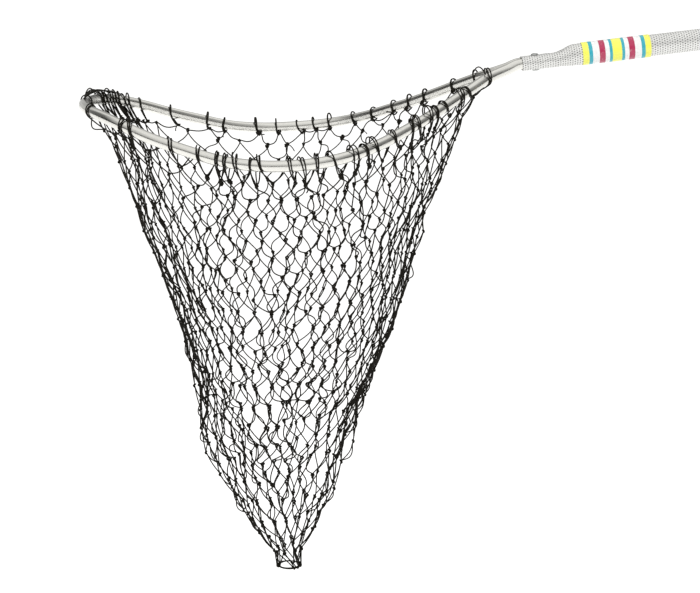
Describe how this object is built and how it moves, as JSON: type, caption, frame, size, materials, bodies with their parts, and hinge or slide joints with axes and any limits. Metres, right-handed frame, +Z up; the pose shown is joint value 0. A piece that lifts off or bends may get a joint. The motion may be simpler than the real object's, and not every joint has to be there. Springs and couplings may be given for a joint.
{
  "type": "wading net with hoop and handle",
  "caption": "Hand net: a bowed teardrop hoop of round tube on a short tube handle, with a long tapering knotted twine bag hung from it by twine loops and drawn together at its tip.",
  "frame": {"origin": "centre of the handle's flat butt end", "axes": "the hoop reaches out along -X, +Y runs across the hoop, +Z is up and the bag hangs along -Z; the handle rises 6.7 degrees towards +X"},
  "size_m": [0.8125, 0.4052, 0.6735],
  "materials": {
    "hoop_tube": "polished drawn tube with fine lengthwise lines and light rub marks under the twine",
    "handle_tube": "pale satin tube embossed all over with staggered rows of small pits",
    "rivet_metal": "dull domed rivet heads",
    "label_film": "printed film band in plain rings of yellow, turquoise, white and crimson",
    "net_twine": "matt black braided twine with tight knots"
  },
  "bodies": {
    "root": {"hoop": "hoop_tube", "handle": "handle_tube", "rivet": "rivet_metal", "label_band": "label_film", "net_bag": "net_twine", "draw_ring": "net_twine"}
  },
  "joints": []
}
